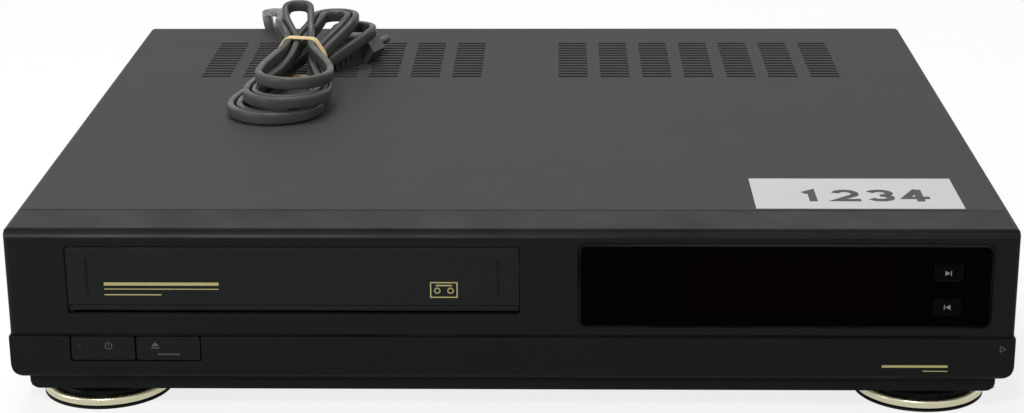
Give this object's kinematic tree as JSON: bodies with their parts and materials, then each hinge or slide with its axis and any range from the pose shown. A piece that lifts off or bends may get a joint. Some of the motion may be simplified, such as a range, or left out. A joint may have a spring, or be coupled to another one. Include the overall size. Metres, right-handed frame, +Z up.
{
  "type": "video cassette recorder",
  "caption": "Front-loading video cassette recorder with a hinged cassette flap, drop-down control door, display window, vented steel cover and its flat mains lead tied in a hank on top",
  "frame": {"origin": "Centre of the recorder's footprint on the table, at the soles of the feet; the free mains cord is not counted.", "axes": "+X runs along the width towards the display side, +Y from the front panel to the rear, +Z up. The front faces -Y."},
  "size_m": [0.4342, 0.409, 0.1195],
  "materials": {
    "painted_cover": "fine satin dark grey paint on sheet steel",
    "painted_rear": "satin near-black paint on sheet steel",
    "bare_steel": "zinc-plated sheet steel",
    "bright_steel": "ground bright steel",
    "polished_drum": "fine turned aluminium",
    "cast_metal": "die-cast aluminium, matt",
    "varnished_iron": "varnished laminations and tape-wrapped windings",
    "panel_plastic": "satin black moulded plastic",
    "key_plastic": "satin black keys",
    "foot_plastic": "glossy black plastic",
    "reel_plastic": "black acetal",
    "white_plastic": "natural acetal",
    "smoked_window": "glossy, nearly opaque smoked acrylic",
    "tube_glass": "clear glass over a dark filter",
    "red_lamp": "clear red light pipe, unlit",
    "gold_ring": "champagne-gold anodised ring",
    "black_screw": "black chromated screws",
    "label_paper": "matt paper sticker",
    "circuit_board": "green laminate with dark components",
    "cord_grey": "soft grey vinyl",
    "band_rubber": "tan natural rubber",
    "black_rubber": "ground black rubber"
  },
  "bodies": {
    "root": {"top_cover": "painted_cover", "front_panel": "panel_plastic", "bottom_chassis": "bare_steel", "rear_panel": "painted_rear", "front_foot_left": "foot_plastic", "front_foot_right": "foot_plastic", "foot_rings": "gold_ring", "rear_feet": "foot_plastic", "cover_screws": "black_screw", "stock_label": "label_paper", "flap_spring": "bare_steel", "display_window": "smoked_window", "control_board": "circuit_board", "display_board": "circuit_board", "display_tube": "tube_glass", "loader_bracket_left": "bare_steel", "loader_bracket_right": "bare_steel", "loader_bridge": "bare_steel", "loading_motor": "cast_metal", "deck_plate": "bare_steel", "drum_base": "cast_metal", "fixed_heads": "cast_metal", "main_board": "circuit_board", "power_board": "circuit_board", "power_transformer": "varnished_iron", "tuner_module": "bright_steel", "socket_board": "circuit_board", "av_sockets": "foot_plastic", "cord_grommet": "cord_grey", "mains_lead": "cord_grey", "mains_hank": "cord_grey", "cord_band": "band_rubber", "mains_plug": "cord_grey"},
    "flap": {"cassette_flap": "panel_plastic"},
    "door": {"control_door": "panel_plastic"},
    "search_forward": {"search_forward_button": "key_plastic"},
    "search_back": {"search_back_button": "key_plastic"},
    "operate": {"operate_button": "key_plastic", "power_lamp": "red_lamp"},
    "eject": {"eject_button": "key_plastic"},
    "rewind": {"rewind_button": "key_plastic"},
    "play": {"play_button": "key_plastic"},
    "fast_forward": {"fast_forward_button": "key_plastic"},
    "stop": {"stop_button": "key_plastic"},
    "pause": {"pause_button": "key_plastic"},
    "record": {"record_button": "key_plastic"},
    "tracking": {"tracking_knob": "key_plastic"},
    "racks": {"loader_rack_left": "white_plastic", "loader_rack_right": "white_plastic"},
    "shaft": {"loader_shaft": "white_plastic"},
    "carriage": {"cassette_carriage": "bare_steel"},
    "drum": {"head_drum": "polished_drum"},
    "guide_left": {"tape_guide_left": "bright_steel"},
    "guide_right": {"tape_guide_right": "bright_steel"},
    "capstan_wheel": {"capstan": "bright_steel"},
    "pinch": {"pinch_arm": "cast_metal"},
    "roller": {"pinch_roller": "black_rubber"},
    "supply": {"supply_reel": "reel_plastic"},
    "takeup": {"takeup_reel": "reel_plastic"}
  },
  "joints": [
    {"name": "flap_hinge", "type": "hinge", "parent": "root", "child": "flap", "pos_m": [-0.092, -0.1807, 0.0762], "axis": [1, 0, 0], "range_deg": [0, 90], "stiffness_Nm_per_rad": 0.003, "springref_deg": -22.92},
    {"name": "door_hinge", "type": "hinge", "parent": "root", "child": "door", "pos_m": [0, -0.1789, 0.0209], "axis": [1, 0, 0], "range_deg": [0, 90]},
    {"name": "search_forward_press", "type": "slide", "parent": "root", "child": "search_forward", "axis": [0, 1, 0], "range_m": [0, 0.0012], "stiffness_N_per_m": 400, "springref_m": -0.0006},
    {"name": "search_back_press", "type": "slide", "parent": "root", "child": "search_back", "axis": [0, 1, 0], "range_m": [0, 0.0012], "stiffness_N_per_m": 400, "springref_m": -0.0006},
    {"name": "operate_press", "type": "slide", "parent": "root", "child": "operate", "axis": [0, 1, 0], "range_m": [0, 0.0012], "stiffness_N_per_m": 400, "springref_m": -0.0006},
    {"name": "eject_press", "type": "slide", "parent": "root", "child": "eject", "axis": [0, 1, 0], "range_m": [0, 0.0012], "stiffness_N_per_m": 400, "springref_m": -0.0006},
    {"name": "rewind_press", "type": "slide", "parent": "root", "child": "rewind", "axis": [0, 1, 0], "range_m": [0, 0.0012], "stiffness_N_per_m": 400, "springref_m": -0.0006},
    {"name": "play_press", "type": "slide", "parent": "root", "child": "play", "axis": [0, 1, 0], "range_m": [0, 0.0012], "stiffness_N_per_m": 400, "springref_m": -0.0006},
    {"name": "fast_forward_press", "type": "slide", "parent": "root", "child": "fast_forward", "axis": [0, 1, 0], "range_m": [0, 0.0012], "stiffness_N_per_m": 400, "springref_m": -0.0006},
    {"name": "stop_press", "type": "slide", "parent": "root", "child": "stop", "axis": [0, 1, 0], "range_m": [0, 0.0012], "stiffness_N_per_m": 400, "springref_m": -0.0006},
    {"name": "pause_press", "type": "slide", "parent": "root", "child": "pause", "axis": [0, 1, 0], "range_m": [0, 0.0012], "stiffness_N_per_m": 400, "springref_m": -0.0006},
    {"name": "record_press", "type": "slide", "parent": "root", "child": "record", "axis": [0, 1, 0], "range_m": [0, 0.0012], "stiffness_N_per_m": 400, "springref_m": -0.0006},
    {"name": "tracking_turn", "type": "hinge", "parent": "root", "child": "tracking", "pos_m": [0.09, -0.1769, 0.027], "axis": [0, 1, 0], "range_deg": [-135, 135]},
    {"name": "rack_slide", "type": "slide", "parent": "root", "child": "racks", "axis": [0, 1, 0], "range_m": [0, 0.04]},
    {"name": "shaft_turn", "type": "hinge", "parent": "root", "child": "shaft", "pos_m": [-0.092, -0.0259, 0.058], "axis": [1, 0, 0], "range_deg": [-290, 0]},
    {"name": "carriage_drop", "type": "slide", "parent": "racks", "child": "carriage", "axis": [0, 0, -1], "range_m": [0, 0.02]},
    {"name": "drum_spin", "type": "hinge", "parent": "root", "child": "drum", "pos_m": [-0.092, 0.0171, 0.0235], "axis": [0, -0.0872, 0.9962], "continuous": true},
    {"name": "guide_right_swing", "type": "hinge", "parent": "root", "child": "guide_right", "pos_m": [-0.1044, 0.0036, 0.0235], "axis": [0, 0, 1], "range_deg": [0, 64]},
    {"name": "guide_left_swing", "type": "hinge", "parent": "root", "child": "guide_left", "pos_m": [-0.0796, 0.0036, 0.0235], "axis": [0, 0, -1], "range_deg": [0, 64]},
    {"name": "capstan_spin", "type": "hinge", "parent": "root", "child": "capstan_wheel", "pos_m": [-0.03, -0.0199, 0.0235], "axis": [0, 0, 1], "continuous": true},
    {"name": "pinch_swing", "type": "hinge", "parent": "root", "child": "pinch", "pos_m": [-0.008, 0.0031, 0.0235], "axis": [0, 0, 1], "range_deg": [0, 20]},
    {"name": "roller_spin", "type": "hinge", "parent": "pinch", "child": "roller", "pos_m": [-0.02942, -0.00501, 0.0345], "axis": [0, 0, 1], "continuous": true},
    {"name": "supply_spin", "type": "hinge", "parent": "root", "child": "supply", "pos_m": [-0.138, -0.0949, 0.0235], "axis": [0, 0, 1], "continuous": true},
    {"name": "takeup_spin", "type": "hinge", "parent": "root", "child": "takeup", "pos_m": [-0.046, -0.0949, 0.0235], "axis": [0, 0, 1], "continuous": true}
  ],
  "couplings": [
    {"joint": "shaft_turn", "follows": "rack_slide", "rad_per_m": -125},
    {"joint": "guide_left_swing", "follows": "guide_right_swing", "ratio": 1}
  ]
}
